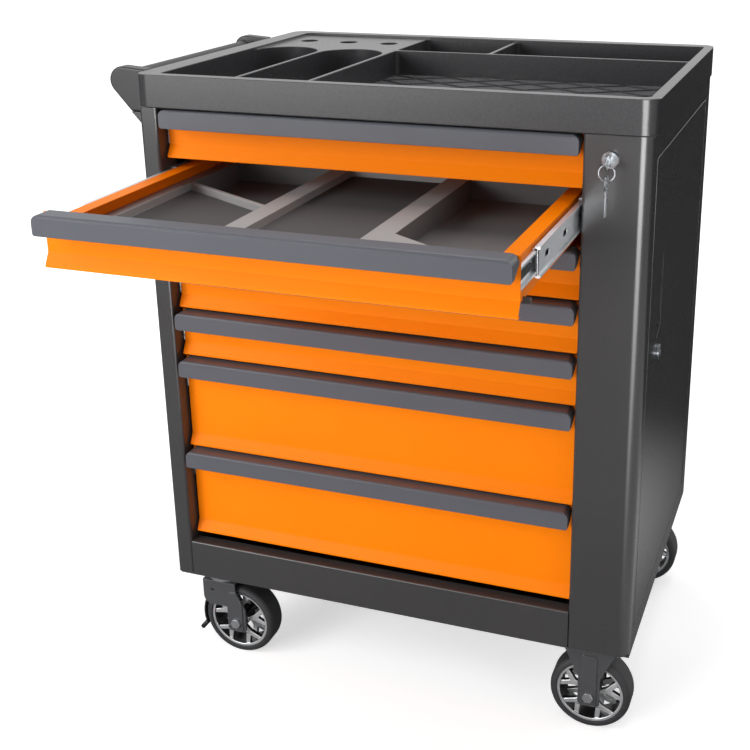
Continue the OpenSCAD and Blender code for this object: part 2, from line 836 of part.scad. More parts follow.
// Front lock, keys and locking bar

lock_x = right_x - lock_in;
lock_z = top_z - lock_drop;
barrel_len = 24;
cam_pin_d = 5;
cam_disc = 2 * bar_throw + cam_pin_d + 3;
bow_y = front_y - lock_proud - 8 - bow_r;
cam_y = front_y + barrel_len + 1;
pin_reach = 7;

// Fixed barrel of the front lock in the column
module lock_barrel() {
    color(chrome)
        translate([lock_x, 0, lock_z])
            difference() {
                union() {
                    rod_y(front_y - lock_proud, front_y, lock_head);
                    rod_y(front_y - lock_proud / 2, front_y + barrel_len, lock_barrel_d);
                }
                rod_y(front_y - lock_proud - 1, front_y + barrel_len + 1, plug_d + 2 * run_fit);
            }
}

// Key in the plane of Y and Z: a round bow with an eye, and a blade drawn out to blade_y
module key_outline(blade, blade_h) {
    difference() {
        union() {
            circle(bow_r);
            translate([0, -blade_h / 2]) square([blade, blade_h]);
        }
        circle(eye_r);
    }
}

// Turning plug with the key in it, the cam and its pin
module front_key() {
    blade_h = plug_d * 0.6;
    color(chrome)
        translate([lock_x, 0, lock_z]) {
            rod_y(front_y - lock_proud + 0.5, cam_y + cam_t, plug_d);
            rod_y(cam_y, cam_y + cam_t, cam_disc);
            translate([-bar_throw, 0, 0]) rod_y(cam_y, cam_y + pin_reach, cam_pin_d);
            translate([0, bow_y, 0])
                along_x(-key_t / 2, key_t / 2) key_outline(front_y - bow_y, blade_h);
        }
}

// Ring hung over the lower side of the bow, with the spare key hung on the ring
ring_z = lock_z - eye_r + rest_gap + ring_wire / 2 - ring_r;
spare_z = ring_z - ring_r + ring_wire / 2 + rest_gap - eye_r;

module spare_key() {
    color(chrome)
        translate([lock_x, bow_y, 0]) {
            translate([0, 0, ring_z])
                rotate([90, 0, 0]) rotate_extrude() translate([ring_r, 0]) circle(d = ring_wire);
            translate([0, 0, spare_z])
                along_x(-key_t / 2, key_t / 2)
                    rotate(-90) key_outline(bow_r + blade_len, bow_r * 0.8);
        }
}

tab_t = 4;
tab_h = 8;
tab_play = 1.5;
tab_reach = 9;
tab_in = 40;
tab_y = front_y + face_set + tab_in;
bar_t = 3;
bar_w = 20;
bar_play = 0.5;
lug_t = 2;

function tab_top(i) = drawer_top(i) - slide_drop - slide_half - tab_play;
function catch_top(i) = tab_top(i) - tab_h - tab_play;

// Locking bar along the partition, with a tab for each drawer and a slotted lug on the cam's pin
module lock_bar() {
    bar_x = open_r + sheet + bar_play;
    lug_y = cam_y + cam_t + rest_gap;
    pin_x = lock_x - bar_throw;
    slot_half = cam_pin_d / 2 + bar_throw / 3;
    low = tab_top(drawer_count - 1) - 2 * tab_h;
    color(zinc) {
        block([bar_x, tab_y - bar_w / 2, low], [bar_x + bar_t, tab_y + bar_w / 2, lock_z + cam_disc / 2]);
        block([bar_x, lug_y, lock_z - cam_disc], [bar_x + bar_t, tab_y, lock_z + cam_disc / 2]);
        for (i = [0 : drawer_count - 1])
            block([open_r - tab_reach, tab_y, tab_top(i) - tab_h],
                [bar_x + overlap, tab_y + tab_t, tab_top(i)]);
        difference() {
            block([bar_x, lug_y, lock_z - cam_disc],
                [lock_x + cam_disc / 2, lug_y + lug_t, lock_z + cam_disc / 2]);
            block([pin_x - cam_pin_d / 2 - 1, lug_y - 1, lock_z - slot_half],
                [pin_x + bar_throw + cam_pin_d / 2 + 1, lug_y + lug_t + 1, lock_z + slot_half]);
        }
    }
}

// Casters

axle_z = wheel_d / 2;
seat_r = seat_d / 2;
rim_w_out = tyre_w - 6;
hub_d = 30;
hub_w = tyre_w + 2 * leg_gap - 0.6;
leg_y = tyre_w / 2 + leg_gap;
plate_z = base_z - plate_t;
crown_z = axle_z + wheel_d / 2 + 7;
rigid_x = right_x - rigid_in;
swivel_x = left_x + swivel_in;
caster_ys = [front_y + caster_in, back_y - caster_in];
shoulder_r = 9;
spoke_count = 5;
rigid_half_top = 38;
rigid_skirt = 15;
swivel_skirt = 46;
foot_drop = 17;
foot_r = 5;
spoke_t = 7;
rim_ring = 5;

// Places of the four wheels, front first
function rigid_place(n) = [rigid_x, caster_ys[n], axle_z];
function swivel_place(n) = [swivel_x + trail, caster_ys[n], axle_z];

// Tyre section: flat tread with round shoulders on the rim's seat
module tyre() {
    half = tyre_w / 2;
    color(rubber)
        rotate([90, 0, 0])
            rotate_extrude()
                difference() {
                    round_rect([seat_r - shoulder_r, -half], [axle_z, half], shoulder_r);
                    translate([0, -tyre_w]) square([seat_r + run_fit, 2 * tyre_w]);
                }
}

// Point at a radius and an angle
function polar(r, a) = [r * cos(a), r * sin(a)];

// Forked spoke from the hub to the ring
module spoke() {
    inner = hub_d / 2 - 2;
    outer = seat_r - rim_ring + 1;
    split = inner + (outer - inner) * 0.42;
    lead = 13;
    spread = 17;
    w = 5;
    polygon([polar(inner, -12), polar(split, lead - 11), polar(outer, lead - spread - 4),
        polar(outer, lead - spread + w), polar(split + 7, lead), polar(outer, lead + spread - w),
        polar(outer, lead + spread + 4), polar(split, lead + 11), polar(inner, 20)]);
}

// Cast rim: barrel, hub and a star of forked spokes on each face
module rim() {
    half = rim_w_out / 2;
    color(chrome)
        rotate([90, 0, 0])
            difference() {
                union() {
                    rotate_extrude()
                        translate([seat_r - rim_ring, -half]) square([rim_ring, rim_w_out]);
                    translate([0, 0, -hub_w / 2]) cylinder(h = hub_w, d = hub_d);
                    for (s = [0, 1])
                        mirror([0, 0, s])
                            translate([0, 0, half - spoke_t - 2])
                                linear_extrude(spoke_t)
                                    for (k = [0 : spoke_count - 1])
                                        rotate(k * 360 / spoke_count) spoke();
                }
                translate([0, 0, -hub_w]) cylinder(h = 2 * hub_w, d = axle_d + 2 * run_fit);
            }
}

// Leg of a caster in the plane of X and Z, from the crown at x to a square foot under the axle. The crown's
// full width comes down by the length skirt.
module leg_outline(x, half_top, height, skirt) {
    half = axle_d + 7;
    round_rect([-half, -foot_drop], [half, foot_drop], foot_r);
    polygon([[-half, 0], [half, 0], [half, height * 0.35], [x + half_top, height * 0.82],
        [x + half_top, height], [x - half_top, height], [x - half_top, height * 0.82],
        [-half, height * 0.35]]);
    round_rect([x - half_top, height - skirt], [x + half_top, height], skirt / 3);
}

// Two legs with a raised rib down to each axle end, bored for the axle
module legs(x, half_top, height, skirt) {
    rib_w = axle_d + 14;
    rib_t = 2;
    difference() {
        for (s = [0, 1])
            mirror([0, s, 0]) {
                along_y(-leg_y - plate_t, -leg_y) leg_outline(x, half_top, height, skirt);
                along_y(-leg_y - plate_t - rib_t, -leg_y - plate_t + overlap)
                    intersection() {
                        leg_outline(x, half_top, height, skirt);
                        round_rect([-rib_w / 2, -foot_drop], [rib_w / 2, height * 0.78], foot_r);
                    }
            }
        rod_y(-leg_y - 4 * plate_t, leg_y + 4 * plate_t, axle_d + 2 * run_fit);
    }
}

// Both rigid casters' brackets: mounting plate and legs pressed from one sheet
module rigid_forks() {
    height = plate_z - axle_z;
    color(steel_dark)
        for (n = [0, 1])
            translate(rigid_place(n)) {
                legs(0, rigid_half_top, height + overlap, rigid_skirt);
                mounting_plate(height);
            }
}

// Mounting plate with four bolt holes
module mounting_plate(z) {
    hole_d = 8.5;
    inset = 8;
    difference() {
        along_z(z, z + plate_t)
            round_rect([-plate_l / 2, -plate_w / 2], [plate_l / 2, plate_w / 2], 8);
        for (x = [-1, 1], y = [-1, 1])
            translate([x * (plate_l / 2 - inset), y * (plate_w / 2 - inset), 0])
                rod_z(z - 1, z + plate_t + 1, hole_d);
    }
}

race_d = 58;
nut_h = 7;

// Top plates of the swivel casters, each with its raised race and kingpin
module swivel_plates() {
    color(zinc)
        for (n = [0, 1])
            translate([swivel_x, caster_ys[n], 0]) {
                mounting_plate(plate_z);
                rod_z(crown_z + plate_t + rest_gap, plate_z + overlap, race_d);
                rod_z(crown_z - nut_h - rest_gap, plate_z, kingpin_d);
                translate([0, 0, crown_z - nut_h - rest_gap])
                    cylinder(h = nut_h, d = kingpin_d * 1.7, $fn = 6);
            }
}

// Fork of a swivel caster: crown plate over two raked legs
module swivel_fork(n) {
    height = crown_z + plate_t - axle_z;
    half_top = 30;
    crown_half = leg_y + plate_t;
    color(steel_dark)
        translate(swivel_place(n)) {
            difference() {
                legs(-trail, half_top, height, swivel_skirt);
                brake_pivot() rod_y(-2 * leg_y, 2 * leg_y, pedal_pin_d + 2 * run_fit);
            }
            difference() {
                along_z(crown_z - axle_z, height)
                    square_between([-trail - half_top, -crown_half + overlap],
                        [-trail + half_top, crown_half - overlap]);
                translate([-trail, 0, 0]) rod_z(0, height + 1, kingpin_d + 2 * run_fit);
            }
        }
}

// Axle bolt with its head and nut, along Y about the origin
module axle_bolt() {
    seat = leg_y + plate_t + 2;
    head_h = 5;
    color(zinc) {
        rod_y(-seat - 1, seat + 1, axle_d);
        for (y = [-seat - head_h, seat])
            translate([0, y + head_h, 0])
                rotate([90, 0, 0]) cylinder(h = head_h, d = axle_d * 1.75, $fn = 6);
    }
}

module rigid_axles() {
    for (n = [0, 1])
        translate(rigid_place(n)) axle_bolt();
}

module swivel_axle(n) {
    translate(swivel_place(n)) axle_bolt();
}

pedal_pin_d = 6;
pedal_r = wheel_d / 2 + 3;
pedal_t = 3;
pedal_w = 34;
pivot_angle = 128;
tongue_angle = 200;
tongue_reach = 14;
tongue_d = 8;

// Place of a brake pedal's pivot on the fork
module brake_pivot() {
    translate([(pedal_r + 4) * cos(pivot_angle), 0, (pedal_r + 4) * sin(pivot_angle)]) children();
}

// Brake pedal curved round the wheel, with its pivot pin and a tongue for the foot
module brake_pedal(n) {
    step = 6;
    sweep = [for (a = [tongue_angle : -step : pivot_angle]) polar(pedal_r, a)];
    tongue = polar(pedal_r + tongue_reach, tongue_angle + 3);
    color(plastic_black)
        translate(swivel_place(n)) {
            along_y(-pedal_w / 2, pedal_w / 2) {
                strip(concat([tongue], sweep), pedal_t);
                translate(tongue) circle(d = tongue_d);
            }
            brake_pivot() rod_y(-leg_y - plate_t, leg_y + plate_t, pedal_pin_d);
        }
}

// Parts to draw, all of them or one by its name

side_panel_left();
rear_wrapper();
base_pan();
right_frame();
partition();
top_tray();
push_handle();
slide_outer_members();
lock_barrel();
rigid_forks();
swivel_plates();
rigid_axles();
drawer_box(0);  // drawer_1_box
drawer_pull(0);  // drawer_1_pull
slide_inner(0);  // drawer_1_runners
slide_middle(0);  // drawer_1_slide_middle
drawer_box(1);  // drawer_2_box
drawer_pull(1);  // drawer_2_pull
slide_inner(1);  // drawer_2_runners
slide_middle(1);  // drawer_2_slide_middle
drawer_box(2);  // drawer_3_box
drawer_pull(2);  // drawer_3_pull
slide_inner(2);  // drawer_3_runners
slide_middle(2);  // drawer_3_slide_middle
drawer_box(3);  // drawer_4_box
drawer_pull(3);  // drawer_4_pull
slide_inner(3);  // drawer_4_runners
slide_middle(3);  // drawer_4_slide_middle
drawer_box(4);  // drawer_5_box
drawer_pull(4);  // drawer_5_pull
slide_inner(4);  // drawer_5_runners
slide_middle(4);  // drawer_5_slide_middle
drawer_box(5);  // drawer_6_box
drawer_pull(5);  // drawer_6_pull
slide_inner(5);  // drawer_6_runners
slide_middle(5);  // drawer_6_slide_middle
drawer_box(6);  // drawer_7_box
drawer_pull(6);  // drawer_7_pull
slide_inner(6);  // drawer_7_runners
slide_middle(6);  // drawer_7_slide_middle
organiser();
front_key();
spare_key();
lock_bar();
side_door();
door_lock();
swivel_fork(0);  // swivel_fork_front
swivel_axle(0);  // swivel_axle_front
brake_pedal(0);  // brake_pedal_front
swivel_fork(1);  // swivel_fork_rear
swivel_axle(1);  // swivel_axle_rear
brake_pedal(1);  // brake_pedal_rear
translate(swivel_place(0)) tyre();  // tyre_front_left
translate(swivel_place(0)) rim();  // rim_front_left
translate(rigid_place(0)) tyre();  // tyre_front_right
translate(rigid_place(0)) rim();  // rim_front_right
translate(swivel_place(1)) tyre();  // tyre_rear_left
translate(swivel_place(1)) rim();  // rim_rear_left
translate(rigid_place(1)) tyre();  // tyre_rear_right
translate(rigid_place(1)) rim();  // rim_rear_right
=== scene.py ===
import json
import math

import bmesh
import bpy
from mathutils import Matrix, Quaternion, Vector


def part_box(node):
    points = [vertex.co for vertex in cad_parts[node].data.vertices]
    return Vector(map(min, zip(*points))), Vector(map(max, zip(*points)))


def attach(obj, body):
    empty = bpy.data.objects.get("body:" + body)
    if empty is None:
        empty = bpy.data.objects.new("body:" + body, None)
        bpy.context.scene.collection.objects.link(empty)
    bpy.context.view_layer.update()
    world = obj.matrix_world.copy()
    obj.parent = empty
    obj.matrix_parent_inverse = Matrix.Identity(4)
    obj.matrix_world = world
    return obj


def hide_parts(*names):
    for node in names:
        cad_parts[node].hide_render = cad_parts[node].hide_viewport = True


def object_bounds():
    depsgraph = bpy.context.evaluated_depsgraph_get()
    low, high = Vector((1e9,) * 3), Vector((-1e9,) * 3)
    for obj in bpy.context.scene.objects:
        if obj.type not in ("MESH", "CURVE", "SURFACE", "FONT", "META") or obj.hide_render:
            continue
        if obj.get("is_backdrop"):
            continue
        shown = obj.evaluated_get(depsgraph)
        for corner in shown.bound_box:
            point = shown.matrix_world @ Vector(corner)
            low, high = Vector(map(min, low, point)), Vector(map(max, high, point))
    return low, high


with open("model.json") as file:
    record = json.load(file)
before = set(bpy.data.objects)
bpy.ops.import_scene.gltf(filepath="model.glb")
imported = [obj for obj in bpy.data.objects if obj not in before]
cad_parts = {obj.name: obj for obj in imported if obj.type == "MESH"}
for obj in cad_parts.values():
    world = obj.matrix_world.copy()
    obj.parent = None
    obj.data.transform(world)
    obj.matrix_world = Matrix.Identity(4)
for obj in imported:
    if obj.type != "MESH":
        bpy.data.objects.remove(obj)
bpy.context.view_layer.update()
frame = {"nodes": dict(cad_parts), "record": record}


# Studio. The cabinet stands on a plain white floor, lit from the front left by two softboxes and weakly from
# the right, above and behind. Reflections see a darker floor with a bright card at the right front, so that
# light runs down the right corner.
def linear(code):
    # An sRGB hex colour as linear values.
    parts = [int(code[k:k + 2], 16) / 255 for k in (1, 3, 5)]
    return [c / 12.92 if c <= 0.04045 else ((c + 0.055) / 1.055) ** 2.4 for c in parts] + [1.0]


def add(tree, kind, inputs=None, **settings):
    # A node with its settings, and with each input set to a value or linked to another node's output.
    node = tree.nodes.new(kind)
    for name, value in settings.items():
        setattr(node, name, value)
    for name, value in (inputs or {}).items():
        if isinstance(value, bpy.types.NodeSocket):
            tree.links.new(value, node.inputs[name])
        else:
            node.inputs[name].default_value = value
    return node


def blank(name):
    # A new material without nodes, and its tree.
    material = bpy.data.materials.new(name)
    material.use_nodes = True
    material.node_tree.nodes.clear()
    return material, material.node_tree


scene = bpy.context.scene
scene.view_settings.view_transform = "Standard"

floor_reach = 30.0
floor_mesh = bpy.data.meshes.new("studio_floor")
floor_corners = [(x * floor_reach, y * floor_reach, 0) for x, y in ((-1, -1), (1, -1), (1, 1), (-1, 1))]
floor_mesh.from_pydata(floor_corners, [], [(0, 1, 2, 3)])
floor = bpy.data.objects.new("studio_floor", floor_mesh)
scene.collection.objects.link(floor)

# White matt paint that the camera sees lifted to pure white away from the cabinet, so that a shadow stays.
floor_paint, tree = blank("white studio floor")
path = add(tree, "ShaderNodeLightPath")
where = add(tree, "ShaderNodeTexCoord").outputs["Object"]
away = add(tree, "ShaderNodeVectorMath", {0: where}, operation="LENGTH")
matt = add(tree, "ShaderNodeBsdfDiffuse", {"Color": linear("#f4f4f4")})
lift_near, lift_far = 0.7, 2.4
lift_low, lift_high = 0.55, 1.0
lift = add(tree, "ShaderNodeMapRange", {
    "Value": away.outputs["Value"], "From Min": lift_near, "From Max": lift_far,
    "To Min": lift_low, "To Max": lift_high})
glow = add(tree, "ShaderNodeEmission", {"Color": linear("#ffffff"), "Strength": lift.outputs[0]})
lifted = add(tree, "ShaderNodeAddShader", {0: matt.outputs[0], 1: glow.outputs[0]})

# The card is a glow on the floor that only reflections see, a painted reflection down the right corner. It
# starts beside the cabinet, ends behind it, and grows brighter towards the front and with distance.
card_side = 0.40, 0.65
card_back = 1.0, 0.3
card_heading, card_turn = (-1.2, -1.0, 0.0), (-0.1, 0.3)
card_reach = 0.8, 5.0
card_near, card_far = 0.8, 20.0
apart = add(tree, "ShaderNodeSeparateXYZ", {0: where})
beside = add(tree, "ShaderNodeMapRange", {
    "Value": apart.outputs[0], "From Min": card_side[0], "From Max": card_side[1]},
    interpolation_type="SMOOTHSTEP")
ahead = add(tree, "ShaderNodeMapRange", {
    "Value": apart.outputs[1], "From Min": card_back[0], "From Max": card_back[1]},
    interpolation_type="SMOOTHSTEP")
toward = add(tree, "ShaderNodeVectorMath", {0: where, 1: card_heading}, operation="DOT_PRODUCT")
front = add(tree, "ShaderNodeMapRange", {
    "Value": toward.outputs["Value"], "From Min": card_turn[0], "From Max": card_turn[1]},
    interpolation_type="SMOOTHSTEP")
rise = add(tree, "ShaderNodeMapRange", {
    "Value": away.outputs["Value"], "From Min": card_reach[0], "From Max": card_reach[1], "To Max": card_far})
stronger = add(tree, "ShaderNodeMath", {
    0: front.outputs[0], 1: rise.outputs[0], 2: card_near}, operation="MULTIPLY_ADD")
edge = add(tree, "ShaderNodeMath", {0: beside.outputs[0], 1: ahead.outputs[0]}, operation="MULTIPLY")
card = add(tree, "ShaderNodeMath", {0: edge.outputs[0], 1: stronger.outputs[0]}, operation="MULTIPLY")
bright = add(tree, "ShaderNodeEmission", {"Color": linear("#ffffff"), "Strength": card.outputs[0]})
tone = add(tree, "ShaderNodeMix", {
    "Factor": ahead.outputs[0], 6: linear("#303030"), 7: linear("#808080")}, data_type="RGBA")
dull = add(tree, "ShaderNodeBsdfDiffuse", {"Color": tone.outputs[2]})
dark = add(tree, "ShaderNodeAddShader", {0: dull.outputs[0], 1: bright.outputs[0]})
mirrored = add(tree, "ShaderNodeMixShader", {
    0: path.outputs["Is Glossy Ray"], 1: matt.outputs[0], 2: dark.outputs[0]})
mixed = add(tree, "ShaderNodeMixShader", {
    0: path.outputs["Is Camera Ray"], 1: mirrored.outputs[0], 2: lifted.outputs[0]})
add(tree, "ShaderNodeOutputMaterial", {"Surface": mixed.outputs[0]})
floor_mesh.materials.append(floor_paint)
floor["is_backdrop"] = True

world = bpy.data.worlds.new("studio")
world.use_nodes = True
tree = world.node_tree
tree.nodes.clear()
path = add(tree, "ShaderNodeLightPath")
through = add(tree, "ShaderNodeMath", {
    0: path.outputs["Is Camera Ray"], 1: path.outputs["Is Transmission Ray"]}, operation="MAXIMUM")
seen = add(tree, "ShaderNodeMath", {
    0: through.outputs[0], 1: path.outputs["Is Glossy Ray"]}, operation="MAXIMUM")
ambient_level = 0.25
strength = add(tree, "ShaderNodeMapRange", {
    "Value": seen.outputs[0], "To Min": ambient_level, "To Max": 1.0})
back = add(tree, "ShaderNodeBackground", {"Color": linear("#ffffff"), "Strength": strength.outputs[0]})
add(tree, "ShaderNodeOutputWorld", {"Surface": back.outputs[0]})
scene.world = world

aim = Vector((0.0, -0.1, 0.6))
for name, place, width, height, power in (
    ("front_softbox", (-1.5, -3.2, 1.1), 1.8, 1.2, 62),
    ("key_softbox", (-1.9, -2.0, 2.0), 1.2, 1.2, 30),
    ("right_softbox", (2.4, -1.4, 1.3), 1.0, 1.0, 6),
    ("top_softbox", (0.1, 0.3, 2.7), 1.6, 1.6, 26),
    ("back_softbox", (1.8, 2.2, 2.2), 1.4, 1.4, 16),
):
    lamp = bpy.data.lights.new(name, "AREA")
    lamp.energy = power
    lamp.shape = "RECTANGLE"
    lamp.size = width
    lamp.size_y = height
    lamp_object = bpy.data.objects.new(name, lamp)
    lamp_object.location = place
    lamp_object.rotation_euler = (aim - Vector(place)).to_track_quat("-Z", "Y").to_euler()
    scene.collection.objects.link(lamp_object)

# The camera stands where the photograph was taken, with part of its lens shift.
picture_px = 750.0
focal_px = 1208.1
axis_px = 435.5, 288.6
camera_place = Vector((0.6165, -1.7743, 1.2407))
camera_aim = Vector((-0.3178, 0.8924, -0.3203))
camera_roll = math.radians(0.478)
lens = bpy.data.cameras.new("camera")
lens.sensor_width = 36.0
lens.lens = focal_px / picture_px * lens.sensor_width
lens.shift_x = (picture_px / 2 - axis_px[0]) / picture_px
lens.shift_y = (axis_px[1] - picture_px / 2) / picture_px
camera = bpy.data.objects.new("camera", lens)
camera.location = camera_place
camera.rotation_mode = "QUATERNION"
camera.rotation_quaternion = Quaternion(camera_aim, camera_roll) @ camera_aim.to_track_quat("-Z", "Y")
scene.collection.objects.link(camera)
scene.camera = camera


# Carcass. Five folded sheets of cold-rolled steel, spot-welded and powder-coated in charcoal: the left side
# with its post, the back with the deck, the bottom pan with the rail, the lock column with the door's frame,
# and the partition of the drawer bay. Blind rivets run up both edges of the back.
def powder_coat(name, colour, shade, roughness, grit_mm, depth, shine):
    # Fused powder has a fine pebbled skin that breaks up the gloss, and a slightly uneven tone.
    material, tree = blank(name)
    cloud_mm = 111.11
    where = add(tree, "ShaderNodeTexCoord").outputs["Object"]
    pebbles = add(tree, "ShaderNodeTexNoise", {
        "Vector": where, "Scale": 1000 / grit_mm, "Detail": 3.0, "Roughness": 0.55})
    clouds = add(tree, "ShaderNodeTexNoise", {"Vector": where, "Scale": 1000 / cloud_mm, "Detail": 2.0})
    tone = add(tree, "ShaderNodeMix", {
        "Factor": clouds.outputs["Fac"], 6: linear(colour), 7: linear(shade)}, data_type="RGBA")
    gloss = add(tree, "ShaderNodeMapRange", {
        "Value": pebbles.outputs["Fac"], "To Min": roughness - 0.06, "To Max": roughness + 0.06})
    skin = add(tree, "ShaderNodeBump", {
        "Height": pebbles.outputs["Fac"], "Strength": depth, "Distance": 0.0004})
    coat = add(tree, "ShaderNodeBsdfPrincipled", {
        "Base Color": tone.outputs[2], "Roughness": gloss.outputs[0], "Normal": skin.outputs[0],
        "Specular IOR Level": shine})
    add(tree, "ShaderNodeOutputMaterial", {"Surface": coat.outputs[0]})
    return material


bodies = frame["record"]["behaviour"]["bodies"]
carrier = {node: body for body, nodes in bodies.items() for node in nodes}


def rounded(node, edge_mm, *materials, steps=2, join=True):
    # A copy of a solid with its doubles merged, its flat faces joined or evened out, and its edges rounded.
    flat, sharp = math.radians(0.5), math.radians(20)
    mesh = frame["nodes"][node].data.copy()
    shape = bmesh.new()
    shape.from_mesh(mesh)
    bmesh.ops.remove_doubles(shape, verts=shape.verts, dist=1e-5)
    if join:
        bmesh.ops.dissolve_limit(shape, angle_limit=flat, verts=shape.verts, edges=shape.edges)
    else:
        inner = [edge for edge in shape.edges if edge.calc_face_angle(1.0) < flat]
        bmesh.ops.beautify_fill(shape, faces=shape.faces, edges=inner)
    for face in shape.faces:
        face.smooth = True
        face.material_index = 0
    for edge in shape.edges:
        edge.smooth = len(edge.link_faces) == 2 and edge.calc_face_angle(0) < sharp
    shape.to_mesh(mesh)
    shape.free()
    mesh.materials.clear()
    for material in materials:
        mesh.materials.append(material)
    piece = bpy.data.objects.new(node + "_finished", mesh)
    scene.collection.objects.link(piece)
    if edge_mm:
        bevel = piece.modifiers.new("edge", "BEVEL")
        bevel.width = edge_mm / 1000
        bevel.segments = steps
        bevel.limit_method = "ANGLE"
        bevel.angle_limit = sharp
        bevel.use_clamp_overlap = False
        even = piece.modifiers.new("flats", "WEIGHTED_NORMAL")
        even.keep_sharp = True
    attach(piece, carrier[node])
    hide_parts(node)
    return piece


charcoal_coat = powder_coat("charcoal powder coat", "#404041", "#3b3b3c", 0.26, 0.9, 0.05, 0.5)
for node in ("side_panel_left", "rear_wrapper", "base_pan", "right_frame", "partition"):
    rounded(node, 0.45, charcoal_coat)


def realised(name, node, group, values):
    # The mesh that a repeating group makes of its named inputs, as a plain piece that moves with a solid.
    piece = bpy.data.objects.new(name, bpy.data.meshes.new(name))
    scene.collection.objects.link(piece)
    repeat = piece.modifiers.new("repeat", "NODES")
    repeat.node_group = group
    for socket in group.interface.items_tree:
        if socket.in_out == "INPUT":
            repeat[socket.identifier] = values[socket.name]
    mesh = bpy.data.meshes.new_from_object(piece.evaluated_get(bpy.context.evaluated_depsgraph_get()))
    piece.modifiers.clear()
    piece.data = mesh
    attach(piece, carrier[node])


def inputs_of(group, **kinds):
    # The named inputs of a repeating group, which also gets its geometry output.
    for name, kind in kinds.items():
        group.interface.new_socket(name.replace("_", " "), in_out="INPUT", socket_type=kind)
    group.interface.new_socket("Geometry", in_out="OUTPUT", socket_type="NodeSocketGeometry")
    return group.nodes.new("NodeGroupInput").outputs


rivet_rows = bpy.data.node_groups.new("blind rivets along the back", "GeometryNodeTree")
given = inputs_of(
    rivet_rows, Middle="NodeSocketVector", Width="NodeSocketFloat", Height="NodeSocketFloat",
    Columns="NodeSocketInt", Rows="NodeSocketInt", Head="NodeSocketFloat", Finish="NodeSocketMaterial")
dome = add(rivet_rows, "GeometryNodeMeshUVSphere", {"Segments": 16, "Rings": 8, "Radius": given["Head"]})
flat = add(rivet_rows, "GeometryNodeTransform", {
    "Geometry": dome.outputs["Mesh"], "Scale": (1.0, 1.0, 0.4)})
places = add(rivet_rows, "GeometryNodeMeshGrid", {
    "Size X": given["Width"], "Size Y": given["Height"],
    "Vertices X": given["Columns"], "Vertices Y": given["Rows"]})
spread = add(rivet_rows, "GeometryNodeInstanceOnPoints", {
    "Points": places.outputs["Mesh"], "Instance": flat.outputs[0]})
stood = add(rivet_rows, "GeometryNodeTransform", {
    "Geometry": spread.outputs[0], "Rotation": (math.radians(-90), 0.0, 0.0), "Translation": given["Middle"]})
solid = add(rivet_rows, "GeometryNodeRealizeInstances", {0: stood.outputs[0]})
smooth = add(rivet_rows, "GeometryNodeSetShadeSmooth", {0: solid.outputs[0]})
finished = add(rivet_rows, "GeometryNodeSetMaterial", {
    "Geometry": smooth.outputs[0], "Material": given["Finish"]})
add(rivet_rows, "NodeGroupOutput", {0: finished.outputs[0]})

rivet_from_edge, rivet_from_end = 0.008, 0.03
rivet_head_r = 0.0035
back_low, back_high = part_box("rear_wrapper")
back_mid = (back_low + back_high) / 2
realised("back_rivets", "rear_wrapper", rivet_rows, {
    "Middle": (back_mid.x, back_high.y, back_mid.z),
    "Width": back_high.x - back_low.x - 2 * rivet_from_edge,
    "Height": back_high.z - back_low.z - 2 * rivet_from_end,
    "Columns": 2, "Rows": 8, "Head": rivet_head_r, "Finish": charcoal_coat})


# Drawer slides. Roll-formed steel channels, bright zinc-plated: an outer member on the cabinet, a middle one
# with oval slots and an inner one on the drawer, all with fine rolling lines along their length.
def plated_steel(name, colour, roughness, line_mm):
    # Zinc over cold-rolled strip: bright, slightly milky, with faint lines along the rolling direction.
    material, tree = blank(name)
    cloud_mm = 16.667
    where = add(tree, "ShaderNodeTexCoord").outputs["Object"]
    stretched = add(tree, "ShaderNodeMapping", {"Vector": where, "Scale": (1.0, 0.02, 1.0)})
    lines = add(tree, "ShaderNodeTexNoise", {
        "Vector": stretched.outputs[0], "Scale": 1000 / line_mm, "Detail": 2.0})
    clouds = add(tree, "ShaderNodeTexNoise", {"Vector": where, "Scale": 1000 / cloud_mm, "Detail": 3.0})
    gloss = add(tree, "ShaderNodeMapRange", {
        "Value": clouds.outputs["Fac"], "To Min": roughness - 0.08, "To Max": roughness + 0.10})
    skin = add(tree, "ShaderNodeBump", {
        "Height": lines.outputs["Fac"], "Strength": 0.06, "Distance": 0.0003})
    metal = add(tree, "ShaderNodeBsdfPrincipled", {
        "Base Color": linear(colour), "Metallic": 0.8, "Roughness": gloss.outputs[0],
        "Normal": skin.outputs[0]})
    add(tree, "ShaderNodeOutputMaterial", {"Surface": metal.outputs[0]})
    return material


drawers = range(1, 8)
slide_zinc = plated_steel("bright zinc-plated strip", "#d6d9dc", 0.42, 0.8)
rounded("slide_outer_members", 0.3, slide_zinc)
for number in drawers:
    rounded(f"drawer_{number}_slide_middle", 0.3, slide_zinc)
    rounded(f"drawer_{number}_runners", 0.3, slide_zinc)


